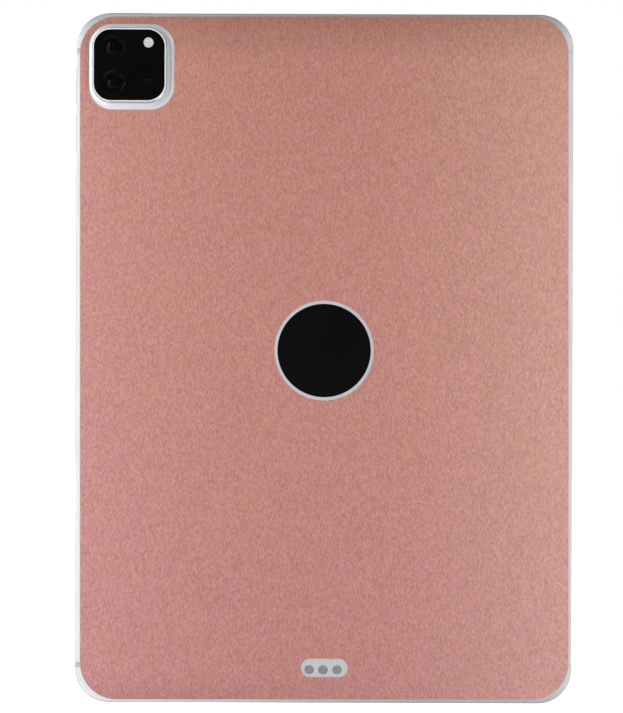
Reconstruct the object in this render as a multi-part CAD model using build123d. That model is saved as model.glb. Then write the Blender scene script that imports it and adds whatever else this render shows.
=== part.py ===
from build123d import *
import os

# An 11-inch tablet computer that stands in portrait on its bottom edge. X runs across the tablet, Y from its
# back to its screen and Z up to its top edge. The origin is the middle of the bottom edge. Millimetres.

# ---------------------------------------------------------------- driving dimensions
WIDTH = 178.5
HEIGHT = 247.6
THICKNESS = 5.9
CORNER_R = 12.0
BUMP = 2.0                      # how far the camera glass stands out of the back

SKIN_T = 0.2
FLOOR_T = 0.8                   # back wall of the housing
WALL = 1.6                      # side walls of the housing
LIP = 0.6                       # rim beside the front glass
BACK_ROUND = 0.8
FRONT_CHAMFER = 0.25
GLASS_T = 0.7
GASKET_T = 0.1
PANEL_T = 1.2
FIT = 0.05                      # gap round a piece that is glued or seated in another

# depths, counted so that the origin lies halfway between the camera glass and the front glass
Y_BACK = BUMP / 2 - THICKNESS / 2
Y_FRONT = Y_BACK + THICKNESS
Y_MID = (Y_BACK + Y_FRONT) / 2
Y_FLOOR = Y_BACK + FLOOR_T
Y_GLASS = Y_FRONT - GLASS_T
Y_LEDGE = Y_GLASS - GASKET_T
Y_PANEL = Y_GLASS - PANEL_T
Y_BUMP = Y_BACK - BUMP
Y_RIM = Y_FRONT - 0.1

X_SIDE = WIDTH / 2
X_INNER = X_SIDE - WALL
Z_INNER_LOW = WALL
Z_INNER_TOP = HEIGHT - WALL
Z_MID = HEIGHT / 2

# skin: laid a fifth of a degree askew and a little off centre
SKIN_W, SKIN_H, SKIN_R = 175.2, 244.9, 13.0
SKIN_TURN = 0.2
SKIN_X, SKIN_Z = 0.05, Z_MID + 0.15
SKIN_CAMERA = (-69.55, 228.2, 30.8, 30.8, 8.5)      # centre x, z, width, height, corner radius
SKIN_CONNECTOR = (0.5, 12.75, 17.0, 6.6)             # centre x, z, width, height
SKIN_DISC_R = 17.95

# round inlay on the back
DISC_R = 16.75
DISC_T = 0.35
DISC_Z = Z_MID + 2.8

# camera unit
CAMERA_X, CAMERA_Z = -70.06, 228.5
CAMERA_GLASS = 25.3
CAMERA_GLASS_R = 6.1
CAMERA_GLASS_T = 0.9
TRIM_RING = 0.8                 # metal ring seen round the glass
TRIM_FOOT = 0.95                # foot that spreads on the back, beyond the ring
TRIM_FOOT_T = 0.35
LENS_DX, LENS_DZ = -5.85, 6.35
SENSOR_DX, SENSOR_DZ = 6.9, 8.0
LENS_WINDOW_R = 4.2
FLASH_R = 1.8
DEPTH_WINDOW_R = 2.9
REAR_MIC_R = 0.35

# buttons
KEY_PROUD = 0.5
KEY_T = 2.0
KEY_GAP = 0.1                   # running gap between a key and its slot
KEY_TRAVEL = 0.3
KEY_FLANGE = 1.0                # how far the hidden flange reaches past the key
KEY_FLANGE_T = 0.5
SWITCH_SIDE, SWITCH_T, DOME_T = 2.6, 0.5, 0.15
BRACKET_T = 0.4
VOLUME_LONG = 13.5
VOLUME_UP_Z = HEIGHT - 26.0
VOLUME_DOWN_Z = HEIGHT - 42.6
TOP_LONG = 15.4
TOP_X = -70.2

# sockets and slots
USB_W, USB_T = 8.9, 3.1         # outside of the socket's metal shell
USB_IN_W, USB_IN_T = 8.34, 2.56
USB_LONG = 7.75
USB_RECESS = 0.02               # from the bottom edge to the shell's mouth
PIN_R, PIN_PITCH, PIN_Z = 1.5, 5.0, 12.0
PIN_COLLAR_R = 1.65
SPEAKER_X, SPEAKER_W, SPEAKER_H = 38.0, 32.0, 29.0
SPEAKER_HOLES, SPEAKER_PITCH, SPEAKER_HOLE_R = 8, 3.3, 0.65
MIC_TOP_X = (-14.0, 58.0)
MIC_R = 0.4
BREAK_LONG, BREAK_DEEP = 1.9, 1.0
BREAK_WRAP, BREAK_WRAP_T = 2.3, 0.35   # how far it reaches over the back, and how deep it is there
BREAK_Z = (13.6, HEIGHT - 13.6)
TRAY_Z, TRAY_LONG, TRAY_T = 34.0, 14.6, 2.0
TRAY_FACE_T = 1.0
TRAY_PLATE_W, TRAY_PLATE_L, TRAY_PLATE_T = 10.6, 19.0, 0.9
TRAY_PLATE_DZ = 1.6             # the plate sits above the face's middle and leaves room for the eject hole
CARD_L, CARD_W, CARD_T = 12.3, 8.8, 0.67
EJECT_DZ, EJECT_R = -5.7, 0.45
PEN_LONG, PEN_T, PEN_WINDOW_T = 38.0, 2.2, 1.2

# inner pieces
PANEL_W, PANEL_H = 163.5, 231.5
CELL_X, CELL_W, CELL_H, CELL_Z, CELL_T = 52.0, 63.0, 160.0, 126.0, 2.7
BOARD_W, BOARD_H, BOARD_Z = 35.0, 159.0, 125.5
BOARD_Y, BOARD_T = -0.35, 0.7
CAN_W, CAN_H, CAN_T, CAN_WALL = 30.0, 40.0, 1.2, 0.15
CAN_Z = (80.0, 126.0, 172.0)
SCREW_R, SCREW_HEAD_R, SCREW_HEAD_T = 0.6, 1.3, 0.4
SCREW_PLACES = [(x, z) for x in (-15.5, 15.5) for z in (52.0, 103.0, 199.0)]


# ---------------------------------------------------------------- helpers
def slab_y(outline, y_low, y_high):
    """Extrude an outline drawn in X and Z from one depth to another."""
    base = Plane(origin=(0, y_high, 0), x_dir=(1, 0, 0), z_dir=(0, -1, 0))
    return extrude(base * outline, amount=y_high - y_low)


def slab_x(outline, x_low, x_high):
    """Extrude an outline drawn in Y and Z sideways."""
    base = Plane(origin=(x_low, 0, 0), x_dir=(0, 1, 0), z_dir=(1, 0, 0))
    return extrude(base * outline, amount=x_high - x_low)


def slab_z(outline, z_low, z_high):
    """Extrude an outline drawn in X and Y upwards."""
    return extrude(Pos(0, 0, z_low) * outline, amount=z_high - z_low)


def block(x_range, y_range, z_range):
    """A plain box between three pairs of coordinates."""
    size = [high - low for low, high in (x_range, y_range, z_range)]
    middle = [(high + low) / 2 for low, high in (x_range, y_range, z_range)]
    return Pos(*middle) * Box(*size)


def disc(x, z, radius, y_low, y_high):
    """A round piece whose axis runs from back to front."""
    return slab_y(Pos(x, z) * Circle(radius), y_low, y_high)


def pill(long_side, short_side, turn=0):
    """A slot outline with round ends."""
    return Rot(0, 0, turn) * SlotOverall(long_side, short_side)


def camera_square(side, radius):
    """A rounded square centred on the camera unit."""
    return Pos(CAMERA_X, CAMERA_Z) * RectangleRounded(side, side, radius)


def write(name, solid):
    export_step(solid, f"parts/{name}.step")


def group(solids):
    """Separate pieces of one kind, kept in one node."""
    return Compound(children=list(solids))


# ---------------------------------------------------------------- housing
def body_outline(inset=0.0):
    return Pos(0, Z_MID) * RectangleRounded(WIDTH - 2 * inset, HEIGHT - 2 * inset, CORNER_R - inset)


def housing_blank():
    """The solid outside shape: soft back edge, small chamfer at the rim."""
    blank = slab_y(body_outline(), Y_BACK, Y_RIM)
    blank = fillet(blank.faces().sort_by(Axis.Y)[0].edges(), BACK_ROUND)
    return chamfer(blank.faces().sort_by(Axis.Y)[-1].edges(), FRONT_CHAMFER)


def break_blocks():
    """The four grooves in the side walls and the back's rim that the antenna inserts fill."""
    grooves = []
    for side in (-1, 1):
        for z in BREAK_Z:
            across = (z - BREAK_LONG / 2, z + BREAK_LONG / 2)
            outer = side * (X_SIDE + 1)
            wall = block(sorted((side * (X_SIDE - BREAK_DEEP), outer)), (Y_BACK - 1, Y_LEDGE), across)
            wrap = block(sorted((side * (X_SIDE - BREAK_WRAP), outer)),
                         (Y_BACK - 1, Y_BACK + BREAK_WRAP_T), across)
            grooves.append(wall + wrap)
    return grooves


def speaker_hole_places():
    """X places of the sound holes on one edge of the tablet."""
    first = -(SPEAKER_HOLES - 1) / 2
    return [side * SPEAKER_X + (first + i) * SPEAKER_PITCH for side in (-1, 1) for i in range(SPEAKER_HOLES)]


def rear_housing(blank):
    tub = blank - slab_y(body_outline(WALL), Y_FLOOR, Y_LEDGE)
    tub -= slab_y(body_outline(LIP), Y_LEDGE, Y_FRONT)

    # screw bosses for the logic board
    for x, z in SCREW_PLACES:
        tub += disc(x, z, 2.0, Y_FLOOR, BOARD_Y)
        tub -= disc(x, z, SCREW_R + 0.02, Y_FLOOR + 0.1, BOARD_Y)

    # back wall: inlay recess, camera opening, contact holes
    tub -= disc(0, DISC_Z, DISC_R + FIT, Y_BACK, Y_BACK + DISC_T)
    tub -= slab_y(camera_square(CAMERA_GLASS + 2 * (TRIM_RING - 0.2), CAMERA_GLASS_R + 0.5), Y_BACK, Y_FLOOR)
    for i in (-1, 0, 1):
        tub -= disc(i * PIN_PITCH, PIN_Z, PIN_COLLAR_R + FIT, Y_BACK, Y_FLOOR)

    # left wall: volume slots, pen charging window, tray slot
    for z in (VOLUME_UP_Z, VOLUME_DOWN_Z):
        slot = Pos(Y_MID, z) * pill(VOLUME_LONG + 2 * KEY_GAP, KEY_T + 2 * KEY_GAP, 90)
        tub -= slab_x(slot, -X_SIDE - 1, -X_INNER)
    tub -= slab_x(Pos(Y_MID, Z_MID) * pill(PEN_LONG + 2 * FIT, PEN_T + 2 * FIT, 90), -X_SIDE - 1, -X_INNER)
    face_slot = Pos(Y_MID, TRAY_Z) * pill(TRAY_LONG + 0.2, TRAY_T + 0.2, 90)
    tub -= slab_x(face_slot, -X_SIDE - 1, -X_SIDE + TRAY_FACE_T + 0.05)
    plate_slot = Pos(Y_MID, TRAY_Z + TRAY_PLATE_DZ) * Rectangle(TRAY_PLATE_T + 0.3, TRAY_PLATE_W + 0.3)
    tub -= slab_x(plate_slot, -X_SIDE, -X_INNER)
    tub -= slab_x(Pos(Y_MID, TRAY_Z + EJECT_DZ) * Circle(EJECT_R), -X_SIDE, -X_INNER)

    # top and bottom walls: top button, sound holes, microphones, socket
    top_slot = Pos(TOP_X, Y_MID) * pill(TOP_LONG + 2 * KEY_GAP, KEY_T + 2 * KEY_GAP)
    tub -= slab_z(top_slot, Z_INNER_TOP, HEIGHT + 1)
    for x in speaker_hole_places():
        hole = Pos(x, Y_MID) * Circle(SPEAKER_HOLE_R)
        tub -= slab_z(hole, -1, Z_INNER_LOW)
        tub -= slab_z(hole, Z_INNER_TOP, HEIGHT + 1)
    for x in MIC_TOP_X:
        tub -= slab_z(Pos(x, Y_MID) * Circle(MIC_R), Z_INNER_TOP, HEIGHT + 1)
    tub -= slab_z(Pos(0, Y_MID) * pill(USB_W + 2 * FIT, USB_T + 2 * FIT), -1, Z_INNER_LOW)

    for groove in break_blocks():
        tub -= groove
    return tub


def antenna_inserts(blank):
    """Plastic fillers, flush with the side walls and wrapped on to the back."""
    return group(blank & groove for groove in break_blocks())


def rear_skin():
    outline = Pos(SKIN_X, SKIN_Z) * Rot(0, 0, SKIN_TURN) * RectangleRounded(SKIN_W, SKIN_H, SKIN_R)
    x, z, width, height, radius = SKIN_CAMERA
    outline -= Pos(x, z) * RectangleRounded(width, height, radius)
    x, z, width, height = SKIN_CONNECTOR
    outline -= Pos(x, z) * pill(width, height)
    outline -= Pos(0, DISC_Z) * Circle(SKIN_DISC_R)
    return slab_y(outline, Y_BACK - SKIN_T, Y_BACK)


# ---------------------------------------------------------------- camera unit
GLASS_IN_Y = Y_BUMP + CAMERA_GLASS_T


def camera_trim():
    """Raised frame: a ring round the glass, a spreading foot and a collar through the back wall."""
    ring_side = CAMERA_GLASS + 2 * TRIM_RING
    ring = slab_y(camera_square(ring_side, CAMERA_GLASS_R + TRIM_RING), Y_BUMP + 0.08, Y_BACK)
    ring = chamfer(ring.faces().sort_by(Axis.Y)[0].edges(), 0.3)
    foot_side = ring_side + 2 * TRIM_FOOT
    foot_shape = camera_square(foot_side, CAMERA_GLASS_R + TRIM_RING + TRIM_FOOT)
    foot = slab_y(foot_shape, Y_BACK - TRIM_FOOT_T, Y_BACK)
    foot = chamfer(foot.faces().sort_by(Axis.Y)[0].edges(), 0.28, 0.8)
    collar_side = CAMERA_GLASS + 2 * (TRIM_RING - 0.2 - FIT)
    collar = slab_y(camera_square(collar_side, CAMERA_GLASS_R + 0.45), Y_BACK, Y_FLOOR)
    trim = ring + foot + collar
    trim -= slab_y(camera_square(CAMERA_GLASS + 2 * FIT, CAMERA_GLASS_R + FIT), Y_BUMP, GLASS_IN_Y)
    return trim - slab_y(camera_square(CAMERA_GLASS - 1.2, CAMERA_GLASS_R - 0.6), GLASS_IN_Y, Y_FLOOR)


def camera_places():
    """Centres of the two lens windows: wide above, ultra-wide below."""
    return [(CAMERA_X + LENS_DX, CAMERA_Z + side * LENS_DZ) for side in (1, -1)]


def camera_glass():
    plate = slab_y(camera_square(CAMERA_GLASS, CAMERA_GLASS_R), Y_BUMP, GLASS_IN_Y)
    plate = chamfer(plate.faces().sort_by(Axis.Y)[0].edges(), 0.12)
    for x, z in camera_places():
        plate -= disc(x, z, LENS_WINDOW_R + FIT, Y_BUMP, GLASS_IN_Y)
    plate -= disc(CAMERA_X + SENSOR_DX, CAMERA_Z + SENSOR_DZ, FLASH_R + FIT, Y_BUMP, GLASS_IN_Y)
    plate -= disc(CAMERA_X + SENSOR_DX, CAMERA_Z - SENSOR_DZ, DEPTH_WINDOW_R + FIT, Y_BUMP, GLASS_IN_Y)
    return plate - disc(CAMERA_X + SENSOR_DX, CAMERA_Z, REAR_MIC_R, Y_BUMP, GLASS_IN_Y)


def camera_module(x, z, side):
    """Square actuator housing with a barrel that holds the lens stack."""
    half = side / 2
    base = block((x - half, x + half), (Y_BACK + 0.9, 1.6), (z - half, z + half))
    base = chamfer(base.edges().filter_by(Axis.Y), 0.6)
    barrel = disc(x, z, 4.1, GLASS_IN_Y + 0.1, Y_BACK + 0.9)
    return base + barrel - disc(x, z, 3.3, GLASS_IN_Y + 0.1, Y_BACK + 0.5)


def lens_stack(x, z, radius):
    """Domed front element seated in the barrel."""
    seat = disc(x, z, 3.25, GLASS_IN_Y + 0.9, Y_BACK + 0.5)
    dome = Pos(x, GLASS_IN_Y + 0.35 + 3 * radius, z) * Sphere(3 * radius)
    front = disc(x, z, radius, GLASS_IN_Y + 0.3, GLASS_IN_Y + 0.9)
    return seat + (front & dome)


def lens_window(x, z):
    window = disc(x, z, LENS_WINDOW_R, Y_BUMP, GLASS_IN_Y)
    return chamfer(window.faces().sort_by(Axis.Y)[0].edges(), 0.06)


def sensor_post(x, z, half):
    return block((x - half, x + half), (GLASS_IN_Y + 0.1, Y_FLOOR + 0.5), (z - half, z + half))


def camera_bracket():
    """Steel plate behind the modules, on three legs."""
    x, z = CAMERA_X, CAMERA_Z
    plate = block((x - 10.9, x + 15.6), (1.6, 1.9), (z - 15.6, z + 11.6))
    plate = fillet(plate.edges().filter_by(Axis.Y), 1.5)
    for dx, dz in ((14.8, 8.0), (14.8, -8.0), (5.0, -14.8)):
        plate += disc(x + dx, z + dz, 0.8, Y_FLOOR, 1.6)
    for cx, cz in camera_places():
        plate -= disc(cx, cz, 3.0, 1.6, 1.9)
    return plate


def camera_nodes():
    sensor_x = CAMERA_X + SENSOR_DX
    flash_z, depth_z = CAMERA_Z + SENSOR_DZ, CAMERA_Z - SENSOR_DZ
    for name, (x, z), side, radius in zip(("wide", "ultrawide"), camera_places(), (9.8, 9.0), (2.6, 2.1)):
        write(f"{name}_camera_module", camera_module(x, z, side))
        write(f"{name}_camera_lens", lens_stack(x, z, radius))
    write("lens_windows", group(lens_window(x, z) for x, z in camera_places()))
    write("camera_trim", camera_trim())
    write("camera_glass", camera_glass())
    flash = disc(sensor_x, flash_z, FLASH_R, Y_BUMP, GLASS_IN_Y)
    write("flash_lens", fillet(flash.faces().sort_by(Axis.Y)[0].edges(), 0.15))
    write("flash_led", sensor_post(sensor_x, flash_z, 1.5))
    write("depth_sensor_window", disc(sensor_x, depth_z, DEPTH_WINDOW_R, Y_BUMP, GLASS_IN_Y))
    write("depth_sensor_module", sensor_post(sensor_x, depth_z, 2.6))
    write("rear_microphone", sensor_post(sensor_x, CAMERA_Z, 1.2))
    board = block((sensor_x - 5.2, sensor_x + 4.2), (Y_FLOOR + 0.5, Y_FLOOR + 0.9),
                  (CAMERA_Z - 11.2, CAMERA_Z + 11.2))
    write("sensor_board", board)
    write("camera_bracket", camera_bracket())


# ---------------------------------------------------------------- front
def front_nodes():
    glass = slab_y(body_outline(LIP + FIT), Y_GLASS, Y_FRONT)
    glass = fillet(glass.faces().sort_by(Axis.Y)[-1].edges(), 0.3)
    write("front_glass", glass)
    write("display_adhesive", slab_y(body_outline(LIP + FIT) - body_outline(WALL), Y_LEDGE, Y_GLASS))

    panel = slab_y(Pos(0, Z_MID) * RectangleRounded(PANEL_W, PANEL_H, 4.5), Y_PANEL, Y_GLASS)
    write("display_panel", chamfer(panel.faces().sort_by(Axis.Y)[0].edges(), 0.2))

    camera = block((-3.4, 3.4), (Y_FLOOR + 1.2, Y_GLASS - 0.6), (240.1, 245.7))
    camera += disc(0, 242.9, 2.2, Y_GLASS - 0.6, Y_GLASS)
    write("front_camera_module", camera)
    sensors = block((5.5, 20.5), (Y_FLOOR + 1.2, Y_GLASS - 0.6), (240.1, 245.7))
    for x in (8.5, 17.5):
        sensors += disc(x, 242.9, 1.7, Y_GLASS - 0.6, Y_GLASS)
    write("front_sensor_module", sensors)


# ---------------------------------------------------------------- buttons
def key_profile(long_side, grow=0.0):
    return SlotOverall(long_side + 2 * grow, KEY_T + 1.2 * grow)


def key(long_side):
    """A push button along its own Z axis: a proud cap, a hidden flange and a nub for the switch."""
    flange_top = -WALL - 0.05
    cap = extrude(Pos(0, 0, flange_top) * key_profile(long_side), amount=KEY_PROUD - flange_top)
    cap = fillet(cap.faces().sort_by(Axis.Z)[-1].edges(), 0.2)
    flange = extrude(Pos(0, 0, flange_top - KEY_FLANGE_T) * key_profile(long_side, KEY_FLANGE / 2),
                     amount=KEY_FLANGE_T)
    nub = Pos(0, 0, flange_top - KEY_FLANGE_T - 0.2) * Cylinder(0.8, 0.4)
    return cap + flange + nub


KEY_DEPTH = WALL + 0.05 + KEY_FLANGE_T + 0.4       # from the wall's outer face to the nub's tip
SWITCH_GAP = KEY_TRAVEL + 0.05                     # from the nub's tip to the switch, at rest


def side_key(z):
    """A key in the left wall, pressed towards +X."""
    placed = Plane(origin=(-X_SIDE, Y_MID, z), x_dir=(0, 0, 1), z_dir=(-1, 0, 0))
    return placed.location * key(VOLUME_LONG)


def dome_switch():
    """A switch whose dome faces its own +Z; the origin is the dome's tip."""
    body = Pos(0, 0, -DOME_T - SWITCH_T / 2) * Box(SWITCH_SIDE, SWITCH_SIDE, SWITCH_T)
    return body + Pos(0, 0, -DOME_T / 2) * Cylinder(0.9, DOME_T)


def button_nodes():
    write("volume_up_button", side_key(VOLUME_UP_Z))
    write("volume_down_button", side_key(VOLUME_DOWN_Z))
    switch_x = -X_SIDE + KEY_DEPTH + SWITCH_GAP
    facing = [Plane(origin=(switch_x, Y_MID, z), x_dir=(0, 0, 1), z_dir=(-1, 0, 0))
              for z in (VOLUME_UP_Z, VOLUME_DOWN_Z)]
    switches = [plane.location * dome_switch() for plane in facing]
    low, high = VOLUME_DOWN_Z - 9, VOLUME_UP_Z + 9
    plate_x = switch_x + DOME_T + SWITCH_T
    bracket = block((plate_x, plate_x + BRACKET_T), (Y_FLOOR, Y_PANEL), (low, high))
    foot = block((plate_x + BRACKET_T, plate_x + 2.0), (Y_FLOOR, Y_FLOOR + BRACKET_T), (low, low + 16))
    write("volume_bracket", bracket + foot)

    top_plane = Plane(origin=(TOP_X, Y_MID, HEIGHT), x_dir=(1, 0, 0), z_dir=(0, 0, 1))
    write("top_button", top_plane.location * key(TOP_LONG))
    switch_z = HEIGHT - KEY_DEPTH - SWITCH_GAP
    switches.append(Pos(TOP_X, Y_MID, switch_z) * dome_switch())
    write("dome_switches", group(switches))
    plate_z = switch_z - DOME_T - SWITCH_T
    bracket = block((TOP_X - 9, TOP_X + 9), (Y_FLOOR, Y_PANEL), (plate_z - BRACKET_T, plate_z))
    write("top_button_bracket", bracket)


# ---------------------------------------------------------------- sockets, tray, pen charger
def usb_nodes():
    low = USB_RECESS
    shell = slab_z(Pos(0, Y_MID) * pill(USB_W, USB_T), low, low + USB_LONG)
    cavity_top = low + USB_LONG - 0.5
    shell -= slab_z(Pos(0, Y_MID) * pill(USB_IN_W, USB_IN_T), low, cavity_top)
    write("usb_shell", shell)
    tongue = block((-3.34, 3.34), (Y_MID - 0.35, Y_MID + 0.35), (low + 1.3, cavity_top))
    tongue += block((-3.6, 3.6), (Y_MID - 0.9, Y_MID + 0.9), (cavity_top - 1.2, cavity_top))
    write("usb_tongue", chamfer(tongue.faces().sort_by(Axis.Z)[0].edges(), 0.15))
    write("usb_board", block((-12, 12), (BOARD_Y, BOARD_Y + 0.5), (low + USB_LONG, 33)))


def connector_nodes():
    """Three contact pins in insulating collars, on a common carrier inside the back wall."""
    places = [i * PIN_PITCH for i in (-1, 0, 1)]
    carrier = slab_y(Pos(0, PIN_Z) * pill(15.4, 4.8), Y_FLOOR, Y_FLOOR + 0.3)
    for x in places:
        carrier += disc(x, PIN_Z, PIN_COLLAR_R, Y_BACK + 0.12, Y_FLOOR)
        carrier -= disc(x, PIN_Z, PIN_R + 0.02, Y_BACK, Y_FLOOR + 0.3)
    write("connector_insulator", carrier)
    pins = [fillet(disc(x, PIN_Z, PIN_R, Y_BACK + 0.2, Y_FLOOR + 0.3).faces().sort_by(Axis.Y)[0].edges(), 0.1)
            for x in places]
    write("connector_pins", group(pins))
    write("connector_flex", slab_y(Pos(0, PIN_Z) * pill(14.0, 3.6), Y_FLOOR + 0.3, BOARD_Y))


def tray_nodes():
    face = slab_x(Pos(Y_MID, TRAY_Z) * pill(TRAY_LONG, TRAY_T, 90), -X_SIDE, -X_SIDE + TRAY_FACE_T)
    plate_z = TRAY_Z + TRAY_PLATE_DZ
    plate_end = -X_SIDE + TRAY_FACE_T + TRAY_PLATE_L
    plate = block((-X_SIDE + TRAY_FACE_T, plate_end), (Y_MID - TRAY_PLATE_T / 2, Y_MID + TRAY_PLATE_T / 2),
                  (plate_z - TRAY_PLATE_W / 2, plate_z + TRAY_PLATE_W / 2))
    plate = fillet(plate.edges().filter_by(Axis.Y).group_by(Axis.X)[-1], 1.0)
    card_x = (plate_end - 1.2 - CARD_L, plate_end - 1.2)
    card_z = (plate_z - CARD_W / 2, plate_z + CARD_W / 2)
    grow = 0.06
    pocket = block((card_x[0] - grow, card_x[1] + grow), (Y_MID - TRAY_PLATE_T / 2 + 0.15, Y_MID + TRAY_T),
                   (card_z[0] - grow, card_z[1] + grow))
    window = block((card_x[0] + 1, card_x[1] - 1), (Y_MID - TRAY_T, Y_MID), (card_z[0] + 1, card_z[1] - 1))
    tray = face + plate - pocket - window
    tray -= slab_x(Pos(Y_MID, TRAY_Z + EJECT_DZ) * Circle(EJECT_R), -X_SIDE, -X_SIDE + TRAY_FACE_T)
    write("sim_tray", tray)

    card_low = Y_MID - TRAY_PLATE_T / 2 + 0.15
    card = block(card_x, (card_low, card_low + CARD_T), card_z)
    card = chamfer(card.edges().filter_by(Axis.Y).group_by(Axis.X)[-1].sort_by(Axis.Z)[-1], 1.6)
    write("sim_card", card)

    reader_x = (-X_INNER + 0.1, plate_end + 1.6)
    reader = block(reader_x, (Y_MID - 1.1, Y_MID + 0.95), (plate_z - 6.6, plate_z + 6.6))
    reader -= block((reader_x[0], plate_end + 0.4),
                    (Y_MID - TRAY_PLATE_T / 2 - 0.15, Y_MID + TRAY_PLATE_T / 2 + 0.15),
                    (plate_z - TRAY_PLATE_W / 2 - 0.15, plate_z + TRAY_PLATE_W / 2 + 0.15))
    write("sim_reader", reader)


def pen_nodes():
    window = slab_x(Pos(Y_MID, Z_MID) * pill(PEN_LONG, PEN_T, 90), -X_SIDE, -X_SIDE + PEN_WINDOW_T)
    write("pen_charging_window", window)
    x_low, x_high = -X_INNER + 0.05, -X_INNER + 2.6
    core = slab_x(Pos(Y_MID, Z_MID) * pill(24, 1.0, 90), x_low, x_high)
    write("pen_charging_core", core)
    coil = slab_x(Pos(Y_MID, Z_MID) * (pill(28, 2.0, 90) - pill(24.1, 1.1, 90)), x_low, x_high)
    write("pen_charging_coil", coil)
    magnets = [block((x_low, x_high), (Y_MID - 1.4, Y_MID + 1.0), (z - 4.5, z + 4.5))
               for side in (-1, 1) for z in (Z_MID + side * 22, Z_MID + side * 32)]
    write("pen_magnets", group(magnets))


# ---------------------------------------------------------------- sound, power, electronics
def speaker(side_x, top):
    """Sealed speaker box with an oval cone recess and a spout at the wall."""
    wall_z = Z_INNER_TOP - 0.15 if top else Z_INNER_LOW + 0.15
    far_z = wall_z - SPEAKER_H if top else wall_z + SPEAKER_H
    z_low, z_high = sorted((wall_z, far_z))
    x = side_x * SPEAKER_X
    box = block((x - SPEAKER_W / 2, x + SPEAKER_W / 2), (Y_FLOOR + 0.1, Y_PANEL - 0.1), (z_low, z_high))
    box = fillet(box.edges().filter_by(Axis.Y), 2.0)
    middle = (z_low + z_high) / 2
    box -= slab_y(Pos(x, middle) * pill(24, 14), Y_PANEL - 0.5, Y_PANEL)
    return box + slab_y(Pos(x, middle) * pill(20, 10), Y_PANEL - 0.5, Y_PANEL - 0.25)


def sound_nodes():
    for name, side_x, top in (("upper_left", -1, True), ("upper_right", 1, True),
                              ("lower_left", -1, False), ("lower_right", 1, False)):
        write(f"speaker_{name}", speaker(side_x, top))
    strip = SPEAKER_HOLES * SPEAKER_PITCH
    meshes = [
        block((x - strip / 2, x + strip / 2), (Y_MID - 0.9, Y_MID + 0.9), z_range)
        for x in (-SPEAKER_X, SPEAKER_X)
        for z_range in ((Z_INNER_LOW, Z_INNER_LOW + 0.12), (Z_INNER_TOP - 0.12, Z_INNER_TOP))
    ]
    write("speaker_meshes", group(meshes))
    write("top_microphones", group(block((x - 1.6, x + 1.6), (Y_MID - 1.2, Y_MID + 1.2),
                                         (Z_INNER_TOP - 0.9, Z_INNER_TOP)) for x in MIC_TOP_X))


def power_nodes():
    for name, side in (("left", -1), ("right", 1)):
        x = side * CELL_X
        cell = block((x - CELL_W / 2, x + CELL_W / 2), (Y_FLOOR + 0.1, Y_FLOOR + 0.1 + CELL_T),
                     (CELL_Z - CELL_H / 2, CELL_Z + CELL_H / 2))
        write(f"battery_{name}", fillet(cell.edges().filter_by(Axis.Y), 1.5))
    strip = block((-58, 58), (BOARD_Y, BOARD_Y + 0.5), (35, 44.5))
    write("battery_board", strip)


def ribbon(points, x_range, thickness=0.12):
    """A flat flex cable that steps between depths; points are (y, z) along one face."""
    back = [(y - thickness, z) for y, z in reversed(points)]
    return slab_x(make_face(Polyline(*points, *back, close=True)), *x_range)


def board_nodes():
    low, high = BOARD_Z - BOARD_H / 2, BOARD_Z + BOARD_H / 2
    top_face = BOARD_Y + BOARD_T
    board = slab_y(Pos(0, BOARD_Z) * RectangleRounded(BOARD_W, BOARD_H, 2), BOARD_Y, top_face)
    for x, z in SCREW_PLACES:
        board -= disc(x, z, SCREW_R + 0.1, BOARD_Y, top_face)
    write("logic_board", board)
    screws = [disc(x, z, SCREW_HEAD_R, top_face, top_face + SCREW_HEAD_T) +
              disc(x, z, SCREW_R, Y_FLOOR + 0.2, top_face) for x, z in SCREW_PLACES]
    write("board_screws", group(screws))

    cans = []
    for z in CAN_Z:
        can = block((-CAN_W / 2 + 2, CAN_W / 2 - 2), (top_face, top_face + CAN_T),
                    (z - CAN_H / 2, z + CAN_H / 2))
        can = fillet(can.edges().filter_by(Axis.Y), 1.0)
        inside = block((-CAN_W / 2 + 2 + CAN_WALL, CAN_W / 2 - 2 - CAN_WALL),
                       (top_face, top_face + CAN_T - CAN_WALL),
                       (z - CAN_H / 2 + CAN_WALL, z + CAN_H / 2 - CAN_WALL))
        cans.append(can - fillet(inside.edges().filter_by(Axis.Y), 0.85))
    write("shield_cans", group(cans))
    sides = ((12.5, CAN_Z[1] + 6), (9.0, CAN_Z[1] - 11), (10.0, CAN_Z[2]), (8.0, CAN_Z[0]))
    chips = [block((-side / 2, side / 2), (top_face, top_face + 0.85), (z - side / 2, z + side / 2))
             for side, z in sides]
    write("board_chips", group(chips))
    write("heat_spreader", block((-12, 12), (top_face + CAN_T, top_face + CAN_T + 0.1),
                                 (CAN_Z[0] - 18, CAN_Z[-1] + 18)))

    write("display_flex", ribbon([(Y_PANEL, 34), (Y_PANEL, 44), (top_face + 0.12, 49), (top_face + 0.12, 56)],
                                 (-8, 8)))
    flex_y = (top_face, top_face + 0.12)
    ultrawide_low = CAMERA_Z - LENS_DZ - 4.5
    flex = block((-74, -70), flex_y, (208, ultrawide_low))
    flex += block((-74, -6), flex_y, (208, 211))
    flex += block((-12, -6), flex_y, (200, 208))
    write("camera_flex", flex)


def antenna_and_magnet_nodes():
    lower, upper = (Z_INNER_LOW + 0.1, 7.0), (240.5, Z_INNER_TOP - 0.1)
    frames = [block(sorted((side * 61, side * 78)), (Y_FLOOR + 0.1, Y_PANEL - 0.1), heights)
              for side, heights in ((-1, lower), (1, lower), (1, upper))]
    write("antennas", group(fillet(frame.edges().filter_by(Axis.Y), 1.0) for frame in frames))
    magnets = [block((84.4, X_INNER - 0.1), (Y_FLOOR + 0.1, Y_FLOOR + 1.7), (z - 4.5, z + 4.5))
               for z in range(42, 214, 14)]
    write("cover_magnets", group(magnets))


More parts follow.
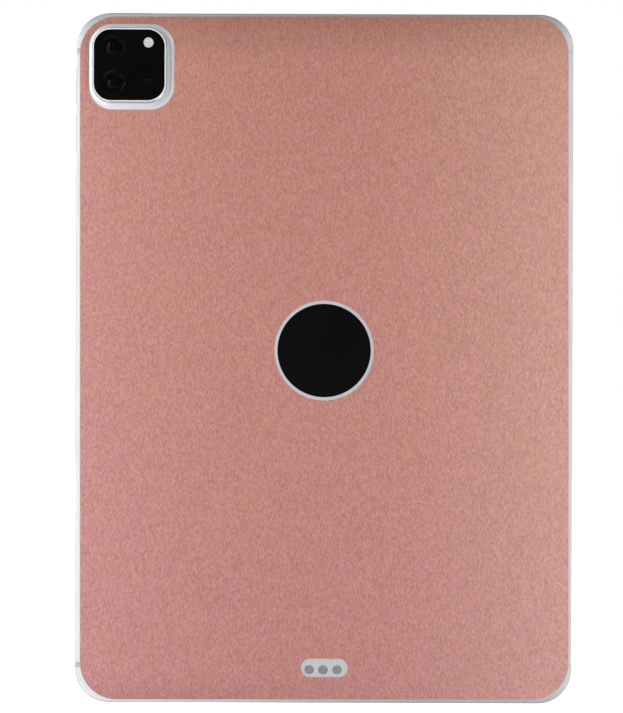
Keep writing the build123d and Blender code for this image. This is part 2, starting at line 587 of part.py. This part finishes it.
# ---------------------------------------------------------------- write every node
os.makedirs("parts", exist_ok=True)
housing = housing_blank()
write("rear_housing", rear_housing(housing))
write("antenna_inserts", antenna_inserts(housing))
write("rear_skin", rear_skin())
write("back_disc", disc(0, DISC_Z, DISC_R, Y_BACK, Y_BACK + DISC_T))
camera_nodes()
front_nodes()
button_nodes()
usb_nodes()
connector_nodes()
tray_nodes()
pen_nodes()
sound_nodes()
power_nodes()
board_nodes()
antenna_and_magnet_nodes()
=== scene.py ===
import math

import bmesh
import bpy
from mathutils import Matrix, Vector


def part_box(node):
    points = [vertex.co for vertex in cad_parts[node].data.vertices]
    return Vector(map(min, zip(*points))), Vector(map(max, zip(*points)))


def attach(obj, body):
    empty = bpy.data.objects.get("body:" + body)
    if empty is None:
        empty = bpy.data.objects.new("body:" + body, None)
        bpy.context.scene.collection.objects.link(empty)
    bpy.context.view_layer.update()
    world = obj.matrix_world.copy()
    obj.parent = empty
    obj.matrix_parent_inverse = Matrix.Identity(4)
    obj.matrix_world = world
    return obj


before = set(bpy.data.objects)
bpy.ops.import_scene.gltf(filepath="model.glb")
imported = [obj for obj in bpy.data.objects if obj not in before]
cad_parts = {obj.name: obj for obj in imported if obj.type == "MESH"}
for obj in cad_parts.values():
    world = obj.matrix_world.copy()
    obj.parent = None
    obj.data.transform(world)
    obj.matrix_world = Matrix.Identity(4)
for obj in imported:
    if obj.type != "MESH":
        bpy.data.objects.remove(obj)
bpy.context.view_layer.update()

# each CAD node comes with a plain material named after its slot in the record
SLOT_OF = {name: node.data.materials[0].name for name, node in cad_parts.items()}
for plain in list(bpy.data.materials):
    bpy.data.materials.remove(plain)

# ---------------------------------------------------------------- driving values, in metres
LOW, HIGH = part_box("rear_housing")
MIDDLE_X = (LOW.x + HIGH.x) / 2
MIDDLE_Z = (LOW.z + HIGH.z) / 2
BACK = LOW.y                       # the metal back's flat face
FRONT_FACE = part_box("front_glass")[1].y
MM = 0.001
TURN = 96                          # steps of a turned piece

# the camera
EYE = Vector((-4.53 * MM, BACK - 450 * MM, MIDDLE_Z + 0.65 * MM))
EYE_ROLL = math.radians(0.2)
LENS, SENSOR = 63.30, 36.0         # millimetres, as Blender takes them

# sizes of the textures
STREAK, STREAK_STRETCH = 0.47 * MM, (1, 1, 0.45)
BLOTCH = 7.0 * MM
BEAD, BEAD_CLOUD = 0.16 * MM, 14 * MM
TURNING_LINE = 0.12 * MM
MESH_WIRE, FLEX_TRACK, COIL_WIRE = 0.12 * MM, 0.35 * MM, 0.15 * MM

# places where a colour changes, from the edge of the piece: the painted shade at the ends of the skin and of
# the metal back, and the display's border
SKIN_TOP_SHADE, SKIN_LOW_SHADE = 16 * MM, 9 * MM
RIM_TOP_SHADE, RIM_LOW_SHADE = (9 * MM, 2 * MM), (2 * MM, 7 * MM)
DISPLAY_EDGE = (5.2 * MM, 4.9 * MM)     # the border's inner edge, inside the panel's edge

# pieces added to the CAD model
BEZEL_R, BEZEL_LIP, BEZEL_GAP = 4.1 * MM, 0.03 * MM, 0.01 * MM
BEZEL_CLEAR = 0.25 * MM                 # between a lens and its bezel
FRESNEL_RINGS = (0.25, 0.55, 0.85, 1.15, 1.4)      # inner radii, in millimetres
FRESNEL_WIDE, FRESNEL_DEEP = 0.18 * MM, 0.05 * MM
CONTACTS, CONTACT_PITCH, CONTACT_WIDE = 12, 0.5 * MM, 0.26 * MM
CONTACT_LONG, CONTACT_SHORT = 3.4 * MM, 2.9 * MM
LONG_CONTACTS = (0, 3, 8, 11)           # ground and power
CONTACT_START, CONTACT_PROUD = 0.5 * MM, 0.02 * MM
TONGUE_HALF = 0.35 * MM                 # half the thickness of the tongue's blade
FRONT_RING_R, FRONT_RING_HOLE, FRONT_RING_PROUD = 1.75 * MM, 1.45 * MM, 0.015 * MM
SENSOR_SPOTS = ((0.2, 0.9 * MM), (0.8, 0.7 * MM))  # share of the sensor's width, radius
SPOT_HOLE, SPOT_PROUD = 0.02 * MM, 0.01 * MM


# ---------------------------------------------------------------- materials
class Paint:
    """One procedural material. Its textures read the row frame, in metres, because every node's object
    sits at the origin."""

    def __init__(self, name, colour, rough, metal=0.0, **sockets):
        self.material = bpy.data.materials.new(name)
        self.material.use_nodes = True
        self.tree = self.material.node_tree
        self.shader = self.tree.nodes["Principled BSDF"]
        self.set("Base Color", (*colour, 1.0))
        self.set("Roughness", rough)
        self.set("Metallic", metal)
        for socket, value in sockets.items():
            self.set(socket, value)

    def set(self, socket, value):
        """A constant goes on the shader's own socket."""
        self.shader.inputs[socket].default_value = value

    def new(self, kind, links=(), **values):
        node = self.tree.nodes.new("ShaderNode" + kind)
        for key, value in values.items():
            setattr(node, key, value)
        for socket, value in links:
            self.give(node.inputs[socket], value)
        return node

    def give(self, socket, value):
        if isinstance(value, bpy.types.NodeSocket):
            self.tree.links.new(value, socket)
        else:
            socket.default_value = value

    def place(self, stretch=(1, 1, 1)):
        spot = self.new("TexCoord").outputs["Object"]
        return self.new("Mapping", [("Vector", spot), ("Scale", stretch)]).outputs[0]

    def noise(self, size, detail=2.0, stretch=(1, 1, 1), rough=0.5):
        """Noise whose lumps are about that size across, in metres."""
        return self.new("TexNoise", [("Vector", self.place(stretch)), ("Scale", 1 / size), ("Detail", detail),
                                     ("Roughness", rough)]).outputs["Fac"]

    def cells(self, size, stretch=(1, 1, 1), feature="F1"):
        return self.new("TexVoronoi", [("Vector", self.place(stretch)), ("Scale", 1 / size)],
                        feature=feature).outputs["Distance"]

    def waves(self, size, axis, distortion=0.0):
        return self.new("TexWave", [("Vector", self.place()), ("Scale", 0.25 / size),
                                    ("Distortion", distortion)], bands_direction=axis).outputs["Fac"]

    def axis(self, letter):
        parts = self.new("SeparateXYZ", [(0, self.new("TexCoord").outputs["Object"])])
        return parts.outputs[letter]

    def facing(self):
        """The surface normal's Y: -1 on a face that looks out of the tablet's back."""
        return self.new("SeparateXYZ", [(0, self.new("NewGeometry").outputs["Normal"])]).outputs["Y"]

    def sum(self, operation, a, b=0.0):
        return self.new("Math", [(0, a), (1, b)], operation=operation).outputs[0]

    def span(self, value, low, high, start=0.3, end=0.7):
        return self.new("MapRange", [("Value", value), ("From Min", start), ("From Max", end),
                                     ("To Min", low), ("To Max", high)]).outputs[0]

    def shades(self, value, *stops):
        """A colour ramp through (position, colour) stops."""
        ramp = self.new("ValToRGB", [(0, value)])
        marks = ramp.color_ramp.elements
        while len(marks) < len(stops):
            marks.new(0.5)
        for mark, (where, colour) in zip(marks, stops):
            mark.position, mark.color = where, (*colour, 1.0)
        return ramp.outputs[0]

    def blend(self, share, a, b, kind="MIX"):
        node = self.new("Mix", data_type="RGBA", blend_type=kind)
        self.give(node.inputs["Factor"], share)
        sockets = [s for s in node.inputs if s.type == "RGBA"]
        self.give(sockets[0], a)
        self.give(sockets[1], b)
        return [s for s in node.outputs if s.type == "RGBA"][0]

    def tinted(self, share, colour, tint):
        """The colour, multiplied by the tint where share is 1."""
        return self.blend(share, colour, self.blend(1.0, colour, (*tint, 1.0), "MULTIPLY"))

    def colour(self, value):
        self.give(self.shader.inputs["Base Color"], value)
        return self

    def rough(self, value):
        self.give(self.shader.inputs["Roughness"], value)
        return self

    def bump(self, height, depth, strength=1.0):
        relief = self.new("Bump", [("Strength", strength), ("Distance", depth), ("Height", height)])
        self.give(self.shader.inputs["Normal"], relief.outputs[0])
        return self


def scaled(colour, factor):
    return tuple(c * factor for c in colour)


def plain_paint(name, colour, rough, metal=0.0, grain=0.4 * MM, spread=0.12, depth=0.01 * MM, **sockets):
    """A finish with a slight cloud in its colour, an uneven gloss and a fine grain in the surface."""
    paint = Paint(name, colour, rough, metal, **sockets)
    cloud = paint.noise(grain * 12, 3.0)
    paint.colour(paint.shades(cloud, (0.3, scaled(colour, 1 - spread)), (0.7, scaled(colour, 1 + spread))))
    fine = paint.noise(grain, 2.0)
    paint.rough(paint.span(fine, max(rough - 0.06, 0.01), min(rough + 0.06, 1.0)))
    return paint.bump(fine, depth)


def skin_paint():
    """Rose vinyl with a short upright grain, soft pink and yellow blotches, and paler cut edges. Painted
    shade darkens its top and the left of its bottom, a painted sheen pales its right side, and its hue shifts
    a little across the sheet."""
    paint = Paint("skin", (0.50, 0.23, 0.195), 0.46, **{"Specular IOR Level": 0.42})
    streak = paint.noise(STREAK, 2.0, STREAK_STRETCH, 0.55)
    blotch = paint.noise(BLOTCH, 2.0)
    tint = paint.shades(blotch, (0.34, (0.514, 0.229, 0.206)), (0.66, (0.507, 0.235, 0.186)))
    shade = paint.shades(streak, (0.25, (0.74, 0.73, 0.73)), (0.75, (1.26, 1.27, 1.27)))
    body = paint.blend(1.0, tint, shade, "MULTIPLY")
    low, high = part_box("rear_skin")
    across, up = paint.axis("X"), paint.axis("Z")
    # painted shade: the top of the skin is darkened
    shaded_top = paint.span(up, 0.0, 1.0, high.z - SKIN_TOP_SHADE, high.z)
    body = paint.tinted(shaded_top, body, (0.76, 0.74, 0.73))
    # painted shade: the bottom of the skin is darkened, most at the left
    shaded_bottom = paint.sum("MULTIPLY", paint.span(up, 1.0, 0.0, low.z, low.z + SKIN_LOW_SHADE),
                        paint.span(across, 1.0, 0.0, low.x + 20 * MM, high.x - 30 * MM))
    body = paint.tinted(shaded_bottom, body, (0.89, 0.88, 0.88))
    # painted sheen: the right side of the skin is paler and less red
    sheen_right = paint.span(across, 0.0, 1.0, MIDDLE_X + 20 * MM, HIGH.x)
    body = paint.tinted(sheen_right, body, (1.01, 1.14, 1.11))
    left_end = paint.span(across, 1.0, 0.0, LOW.x, MIDDLE_X - 40 * MM)
    body = paint.tinted(left_end, body, (1.01, 1.02, 1.07))
    height = paint.span(up, 0.0, 1.0, LOW.z, HIGH.z)
    hue = paint.shades(height, (0.0, (1.01, 1.0, 1.08)), (1.0, (1.0, 1.0, 0.93)))
    body = paint.blend(1.0, body, hue, "MULTIPLY")
    edge = paint.span(paint.facing(), 0.0, 1.0, -0.97, -0.75)
    paint.colour(paint.blend(edge, body, (0.72, 0.55, 0.50, 1.0)))
    paint.rough(paint.span(streak, 0.40, 0.54))
    return paint.bump(streak, 0.035 * MM)


def blasted_paint(name, colour, rough, metal=1.0, painted_shade=False):
    """Bead-blasted, anodised aluminium. The milled sides are smoother and glossier than the flat back.
    With painted shade on, the flat back is darkened across the tablet towards the right and at its top and
    bottom ends."""
    paint = Paint(name, colour, rough, metal)
    side = paint.span(paint.sum("ABSOLUTE", paint.facing()), 1.0, 0.0, 0.3, 0.9)
    beads = paint.cells(BEAD)
    cloud = paint.noise(BEAD_CLOUD, 2.0)
    flat = paint.shades(cloud, (0.35, scaled(colour, 0.97)), (0.65, scaled(colour, 1.03)))
    if painted_shade:
        # painted shade on the flat back: darker towards the right, at the top end and at the right of the
        # bottom end
        across, up = paint.span(paint.axis("X"), 0.0, 1.0, LOW.x, HIGH.x), paint.axis("Z")
        shade_across = paint.shades(across, (0.0, (1.0, 1.0, 1.0)), (0.40, (0.79, 0.79, 0.80)),
                            (0.93, (0.66, 0.66, 0.675)), (0.985, (0.72, 0.72, 0.73)))
        flat = paint.blend(1.0, flat, shade_across, "MULTIPLY")
        shaded_top = paint.span(up, 0.0, 1.0, *(HIGH.z - fade for fade in RIM_TOP_SHADE))
        flat = paint.tinted(shaded_top, flat, (0.60, 0.60, 0.60))
        shaded_bottom = paint.sum("MULTIPLY", paint.span(across, 0.0, 1.0, 0.35, 0.65),
                            paint.span(up, 1.0, 0.0, *(LOW.z + fade for fade in RIM_LOW_SHADE)))
        flat = paint.tinted(shaded_bottom, flat, (0.82, 0.82, 0.82))
    paint.colour(paint.blend(side, flat, (*scaled(colour, 0.80), 1.0)))
    paint.give(paint.shader.inputs["Metallic"], paint.span(side, metal, metal + 0.25, 0.0, 1.0))
    paint.rough(paint.sum("ADD", paint.span(side, rough, rough - 0.06, 0.0, 1.0),
                          paint.span(beads, -0.05, 0.07, 0.0, 0.9)))
    return paint.bump(beads, 0.006 * MM, 0.6)


def polished_paint():
    """Machined and polished metal with fine turning lines. The sloping walls are darker and glossier."""
    paint = Paint("camera_frame", (0.86, 0.87, 0.89), 0.3, 0.6)
    wall = paint.span(paint.facing(), 0.0, 1.0, -0.97, -0.85)
    paint.give(paint.shader.inputs["Metallic"], paint.span(wall, 0.2, 0.95, 0.0, 1.0))
    lines = paint.noise(TURNING_LINE, 1.0, (0.3, 1, 0.3))
    paint.rough(paint.sum("ADD", paint.span(wall, 0.48, 0.30, 0.0, 1.0), paint.span(lines, -0.03, 0.03)))
    cloud = paint.noise(5 * MM)
    metal = paint.shades(cloud, (0.35, (0.84, 0.85, 0.87)), (0.65, (0.88, 0.89, 0.91)))
    return paint.colour(paint.blend(wall, metal, (0.62, 0.64, 0.68, 1.0)))


def gloss_paint(name, colour, rough=0.03, level=0.5, **sockets):
    """Smooth glass or lacquer: dust-like unevenness in the gloss only."""
    paint = Paint(name, colour, rough, **{"Specular IOR Level": level}, **sockets)
    dust = paint.noise(1.5 * MM, 4.0)
    paint.rough(paint.span(dust, rough, rough + 0.03))
    cloud = paint.noise(20 * MM)
    return paint.colour(paint.shades(cloud, (0.35, scaled(colour, 0.9)), (0.65, scaled(colour, 1.1))))


def clear_paint(name, colour, rough=0.01):
    """See-through glass with a faint coating tint."""
    paint = Paint(name, colour, rough, **{"Transmission Weight": 1.0, "IOR": 1.5})
    ring = paint.noise(3 * MM)
    return paint.colour(paint.shades(ring, (0.35, scaled(colour, 0.92)), (0.65, colour)))


def front_paint():
    """Cover glass: the display shows as a slightly paler field inside a black border."""
    paint = Paint("front_cover", (0.004, 0.004, 0.005), 0.03, **{"Specular IOR Level": 0.5})
    low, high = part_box("display_panel")
    inside = None
    for letter, a, b in (("X", low.x, high.x), ("Z", low.z, high.z)):
        away = paint.sum("ABSOLUTE", paint.sum("SUBTRACT", paint.axis(letter), (a + b) / 2))
        share = paint.span(away, 1.0, 0.0, *((b - a) / 2 - inset for inset in DISPLAY_EDGE))
        inside = share if inside is None else paint.sum("MULTIPLY", inside, share)
    dust = paint.noise(2 * MM, 4.0)
    paint.rough(paint.span(dust, 0.02, 0.05))
    return paint.colour(paint.shades(inside, (0.0, (0.0035, 0.0035, 0.004)), (1.0, (0.010, 0.010, 0.012))))


def board_paint():
    """Circuit board: green mask over darker copper areas, with a fine grid of pads."""
    paint = Paint("circuit_board", (0.02, 0.10, 0.06), 0.35, **{"Coat Weight": 0.4})
    tracks = paint.cells(1.6 * MM, (1, 1, 0.5), "DISTANCE_TO_EDGE")
    pads = paint.cells(0.9 * MM)
    mask = paint.shades(tracks, (0.05, (0.012, 0.055, 0.035)), (0.12, (0.02, 0.12, 0.07)))
    gold = paint.span(pads, 1.0, 0.0, 0.16, 0.2)
    paint.colour(paint.blend(gold, mask, (0.75, 0.55, 0.25, 1.0)))
    paint.rough(paint.span(gold, 0.4, 0.25, 0.0, 1.0))
    return paint.bump(tracks, 0.02 * MM)


def woven_paint():
    """Fine woven wire behind the speaker holes."""
    paint = Paint("mesh", (0.05, 0.05, 0.055), 0.5, 0.8)
    weave = paint.sum("MULTIPLY", paint.waves(MESH_WIRE, "X"), paint.waves(MESH_WIRE, "Y"))
    paint.colour(paint.shades(weave, (0.1, (0.01, 0.01, 0.011)), (0.6, (0.10, 0.10, 0.11))))
    return paint.bump(weave, 0.03 * MM)


def flex_paint():
    """Amber flexible circuit with copper tracks along it."""
    paint = Paint("flex", (0.30, 0.15, 0.03), 0.3, **{"Coat Weight": 0.3})
    tracks = paint.waves(FLEX_TRACK, "X", 0.2)
    paint.colour(paint.shades(tracks, (0.35, (0.16, 0.06, 0.012)), (0.65, (0.42, 0.22, 0.06))))
    return paint.bump(tracks, 0.01 * MM)


def coil_paint():
    """Enamelled winding wire, turn by turn."""
    paint = Paint("copper", (0.72, 0.33, 0.16), 0.25, 1.0)
    turns = paint.waves(COIL_WIRE, "Z")
    paint.colour(paint.shades(turns, (0.1, (0.25, 0.08, 0.03)), (0.6, (0.80, 0.38, 0.19))))
    return paint.bump(turns, 0.05 * MM)


def flash_paint():
    """Pale, warm moulded lens over the flash, with a pressed grid."""
    paint = Paint("flash_glass", (0.80, 0.72, 0.60), 0.25, **{"Coat Weight": 0.6})
    low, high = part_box("flash_lens")
    grid = paint.cells(0.55 * MM)
    near = []
    for letter, middle in (("X", (low.x + high.x) / 2), ("Z", (low.z + high.z) / 2)):
        near.append(paint.sum("ABSOLUTE", paint.sum("SUBTRACT", paint.axis(letter), middle)))
    cross = paint.span(paint.sum("MINIMUM", *near), 1.0, 0.0, 0.12 * MM, 0.3 * MM)
    rim = paint.span(paint.sum("MAXIMUM", *near), 0.0, 1.0, 1.2 * MM, 1.9 * MM)
    field = paint.shades(grid, (0.1, (0.84, 0.82, 0.76)), (0.7, (0.58, 0.56, 0.51)))
    field = paint.blend(cross, field, (0.60, 0.58, 0.52, 1.0))
    paint.colour(paint.blend(rim, field, (0.70, 0.68, 0.64, 1.0)))
    return paint.bump(grid, 0.05 * MM)


PAINTS = {
    # the housing's flat back carries painted shade
    "housing": blasted_paint("housing", (0.76, 0.77, 0.79), 0.58, 0.15, painted_shade=True),
    "keys": blasted_paint("keys", (0.66, 0.67, 0.69), 0.54, 0.20),
    "camera_frame": polished_paint(),
    "antenna_plastic": plain_paint("antenna_plastic", (0.50, 0.50, 0.51), 0.5, spread=0.03),
    "skin": skin_paint(),
    "inlay": gloss_paint("inlay", (0.0048, 0.0048, 0.0052), 0.14, 0.12),
    "camera_cover": gloss_paint("camera_cover", (0.0030, 0.0030, 0.0033), 0.03, 0.18),
    "lens_window": clear_paint("lens_window", (0.34, 0.34, 0.35)),
    "lens": gloss_paint("lens", (0.008, 0.008, 0.011), 0.02, 0.3, **{"Coat Weight": 0.25}),
    "flash_glass": flash_paint(),
    "module_plastic": plain_paint("module_plastic", (0.012, 0.012, 0.013), 0.45),
    "led": plain_paint("led", (0.80, 0.62, 0.12), 0.3, grain=0.1 * MM),
    "front_cover": front_paint(),
    "panel": gloss_paint("panel", (0.012, 0.012, 0.014), 0.12),
    "adhesive": plain_paint("adhesive", (0.02, 0.02, 0.02), 0.8),
    "battery": plain_paint("battery", (0.035, 0.035, 0.038), 0.42, grain=0.8 * MM, depth=0.03 * MM),
    "circuit_board": board_paint(),
    "chip": plain_paint("chip", (0.02, 0.02, 0.021), 0.5, grain=0.15 * MM),
    "steel": plain_paint("steel", (0.55, 0.56, 0.57), 0.3, 1.0, grain=0.25 * MM, depth=0.004 * MM),
    "mesh": woven_paint(),
    "contact": plain_paint("contact", (0.44, 0.44, 0.45), 0.36, 0.5, grain=0.12 * MM, depth=0.002 * MM),
    "flex": flex_paint(),
    "graphite": plain_paint("graphite", (0.05, 0.05, 0.053), 0.45, 0.3, grain=0.5 * MM),
    "card": plain_paint("card", (0.72, 0.72, 0.75), 0.45, grain=0.3 * MM, spread=0.04),
    "pen_window": plain_paint("pen_window", (0.36, 0.37, 0.38), 0.35, grain=0.2 * MM, spread=0.05),
    "ferrite": plain_paint("ferrite", (0.03, 0.03, 0.032), 0.6),
    "copper": coil_paint(),
    "magnet": plain_paint("magnet", (0.60, 0.60, 0.62), 0.22, 1.0, grain=0.3 * MM, depth=0.003 * MM),
    "antenna": plain_paint("antenna", (0.10, 0.08, 0.05), 0.4, grain=0.4 * MM),
}

for node, slot in SLOT_OF.items():
    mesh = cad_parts[node].data
    mesh.materials.clear()
    mesh.materials.append(PAINTS[slot].material)
    for face in mesh.polygons:
        face.material_index = 0


# ---------------------------------------------------------------- pieces added to the CAD model
def piece(name, slot, verts, faces, body="tablet", smooth=True):
    mesh = bpy.data.meshes.new(name)
    mesh.from_pydata([tuple(v) for v in verts], [], faces)
    shape = bmesh.new()
    shape.from_mesh(mesh)
    bmesh.ops.recalc_face_normals(shape, faces=shape.faces)
    shape.to_mesh(mesh)
    shape.free()
    mesh.materials.append(PAINTS[slot].material)
    for face in mesh.polygons:
        face.use_smooth = smooth
    made = bpy.data.objects.new(name, mesh)
    bpy.context.scene.collection.objects.link(made)
    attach(made, body)
    return made


def turned(outlines, centre):
    """Verts and faces of closed (radius, y) outlines turned about the Y direction through centre."""
    verts, faces = [], []
    for outline in outlines:
        first, n = len(verts), len(outline)
        for i in range(TURN):
            a = 2 * math.pi * i / TURN
            verts += [(centre.x + r * math.cos(a), y, centre.z + r * math.sin(a)) for r, y in outline]
        for i in range(TURN):
            near, far = first + i * n, first + (i + 1) % TURN * n
            faces += [(near + j, near + (j + 1) % n, far + (j + 1) % n, far + j) for j in range(n)]
    return verts, faces


def boxes(blocks):
    """Verts and faces of (low, high) blocks."""
    verts, faces = [], []
    for low, high in blocks:
        n = len(verts)
        verts += [(x, y, z) for x in (low[0], high[0]) for y in (low[1], high[1]) for z in (low[2], high[2])]
        faces += [tuple(n + i for i in f) for f in
                  ((0, 1, 3, 2), (4, 6, 7, 5), (0, 4, 5, 1), (2, 3, 7, 6), (0, 2, 6, 4), (1, 5, 7, 3))]
    return verts, faces


def middle_of(node):
    low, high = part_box(node)
    return (low + high) / 2


def radius_of(node):
    low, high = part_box(node)
    return (high.x - low.x) / 2


def ring(outer, inner, near, far, lip=0.0):
    """The outline of a flat ring between two depths; lip slopes its inner edge."""
    return [(outer, near), (inner + lip, near), (inner, near + lip), (inner, far), (outer, far)]


def joined(*shapes):
    """Verts and faces of several shapes in one."""
    verts, faces = [], []
    for more_verts, more_faces in shapes:
        faces += [tuple(i + len(verts) for i in face) for face in more_faces]
        verts += more_verts
    return verts, faces


# black stepped bezels between each camera's window and its module
for name, lens_node, module in (("wide_lens_bezel", "wide_camera_lens", "wide_camera_module"),
                                ("ultrawide_lens_bezel", "ultrawide_camera_lens", "ultrawide_camera_module")):
    near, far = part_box("camera_glass")[1].y + BEZEL_GAP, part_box(module)[0].y - BEZEL_GAP
    inner = radius_of(lens_node) + BEZEL_CLEAR
    piece(name, "module_plastic", *turned([ring(BEZEL_R, inner, near, far, BEZEL_LIP)], middle_of(lens_node)))

# the flash lens is pressed with rings on its inner face
flash_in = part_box("flash_lens")[1].y
piece("flash_fresnel", "flash_glass",
      *turned([[(r * MM, flash_in), (r * MM + FRESNEL_WIDE / 2, flash_in + FRESNEL_DEEP),
                (r * MM + FRESNEL_WIDE, flash_in)] for r in FRESNEL_RINGS], middle_of("flash_lens")))

# contacts on both faces of the socket's tongue
tongue_low, tongue_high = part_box("usb_tongue")
start = tongue_low.z + CONTACT_START
contacts = []
for side in (-1, 1):
    face = (tongue_low.y + tongue_high.y) / 2 + side * TONGUE_HALF
    depths = sorted((face, face + side * CONTACT_PROUD))
    for i in range(CONTACTS):
        x = (i - (CONTACTS - 1) / 2) * CONTACT_PITCH
        long = CONTACT_LONG if i in LONG_CONTACTS else CONTACT_SHORT
        contacts.append(((x - CONTACT_WIDE / 2, depths[0], start),
                         (x + CONTACT_WIDE / 2, depths[1], start + long)))
piece("usb_contacts", "contact", *boxes(contacts), smooth=False)

# the front camera and the two light sensors show as a thin ring and two discs on the cover glass
front = middle_of("front_camera_module")
ring_face = FRONT_FACE + FRONT_RING_PROUD
piece("front_camera_ring", "camera_cover",
      *turned([[(FRONT_RING_R, FRONT_FACE), (FRONT_RING_R, ring_face), (FRONT_RING_HOLE, ring_face),
                (FRONT_RING_HOLE, FRONT_FACE)]], front))
sensor_low, sensor_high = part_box("front_sensor_module")
spot_face = FRONT_FACE + SPOT_PROUD
spots = []
for share, r in SENSOR_SPOTS:
    centre = Vector((sensor_low.x + (sensor_high.x - sensor_low.x) * share, 0, front.z))
    spots.append(turned([[(r, FRONT_FACE), (r, spot_face), (SPOT_HOLE, spot_face), (SPOT_HOLE, FRONT_FACE)]],
                        centre))
piece("front_sensor_spots", "camera_cover", *joined(*spots))


# ---------------------------------------------------------------- camera, lights, floor
scene = bpy.context.scene
scene.view_settings.view_transform = "Standard"
scene.view_settings.look = "None"

eye_data = bpy.data.cameras.new("eye")
eye_data.lens, eye_data.sensor_width, eye_data.sensor_fit = LENS, SENSOR, "AUTO"
eye_data.clip_start, eye_data.clip_end = 0.01, 50
eye = bpy.data.objects.new("eye", eye_data)
scene.collection.objects.link(eye)
eye.matrix_world = (Matrix.Translation(EYE) @ Matrix.Rotation(math.pi / 2, 4, "X")
                    @ Matrix.Rotation(EYE_ROLL, 4, "Z"))
scene.camera = eye


def lamp(name, spot, wide, tall, watts, aim):
    data = bpy.data.lights.new(name, "AREA")
    data.shape, data.size, data.size_y = "RECTANGLE", wide, tall
    data.energy = watts
    made = bpy.data.objects.new(name, data)
    scene.collection.objects.link(made)
    made.location = spot
    made.rotation_euler = (Vector(aim) - Vector(spot)).to_track_quat("-Z", "Y").to_euler()
    made.visible_camera = False


lamp("left_light", (-0.225, -0.175, 0.118), 0.10, 0.62, 1.011, (-0.04, 0, 0.118))
lamp("right_light", (0.222, -0.175, 0.080), 0.10, 0.62, 1.025, (0.04, 0, 0.080))
lamp("front_light", (-0.55, 0.75, 0.55), 0.7, 0.5, 5.0, (0, 0, 0.12))

world = bpy.data.worlds.new("studio")
scene.world = world
world.use_nodes = True
tree = world.node_tree
tree.nodes.clear()


def world_node(kind, **values):
    node = tree.nodes.new("ShaderNode" + kind)
    for key, value in values.items():
        setattr(node, key, value)
    return node


# the room is bright behind the tablet and dim behind the camera, so that dark glass stays dark
room_axis = world_node("SeparateXYZ")
tree.links.new(world_node("TexCoord").outputs["Generated"], room_axis.inputs[0])
room_shade = world_node("ValToRGB")
ends = room_shade.color_ramp.elements
ends[0].position, ends[0].color = 0.15, (0.035, 0.035, 0.037, 1)
ends[1].position, ends[1].color = 0.95, (0.50, 0.50, 0.51, 1)
room_range = world_node("MapRange")
room_range.inputs["From Min"].default_value = -1.0
tree.links.new(room_axis.outputs["Y"], room_range.inputs["Value"])
tree.links.new(room_range.outputs[0], room_shade.inputs[0])
room = world_node("Background")
tree.links.new(room_shade.outputs[0], room.inputs["Color"])
paper = world_node("Background")
paper.inputs["Color"].default_value = (1, 1, 1, 1)
pick = world_node("MixShader")
tree.links.new(world_node("LightPath").outputs["Is Camera Ray"], pick.inputs[0])
tree.links.new(room.outputs[0], pick.inputs[1])
tree.links.new(paper.outputs[0], pick.inputs[2])
tree.links.new(pick.outputs[0], world_node("OutputWorld").inputs["Surface"])

FLOOR = 4.0                        # half its side
floor_mesh = bpy.data.meshes.new("floor")
floor_mesh.from_pydata([(-FLOOR, -FLOOR, 0), (FLOOR, -FLOOR, 0), (FLOOR, FLOOR, 0), (-FLOOR, FLOOR, 0)],
                       [], [(0, 1, 2, 3)])
floor_paint = plain_paint("floor", (0.62, 0.62, 0.62), 0.9, grain=5 * MM, spread=0.01,
                          **{"Emission Color": (1, 1, 1, 1), "Emission Strength": 0.87})
floor_mesh.materials.append(floor_paint.material)
floor = bpy.data.objects.new("floor", floor_mesh)
scene.collection.objects.link(floor)
# the floor shows to the camera only, so it neither lights nor shades the tablet
floor.visible_diffuse = False
floor.visible_glossy = False
floor.visible_shadow = False
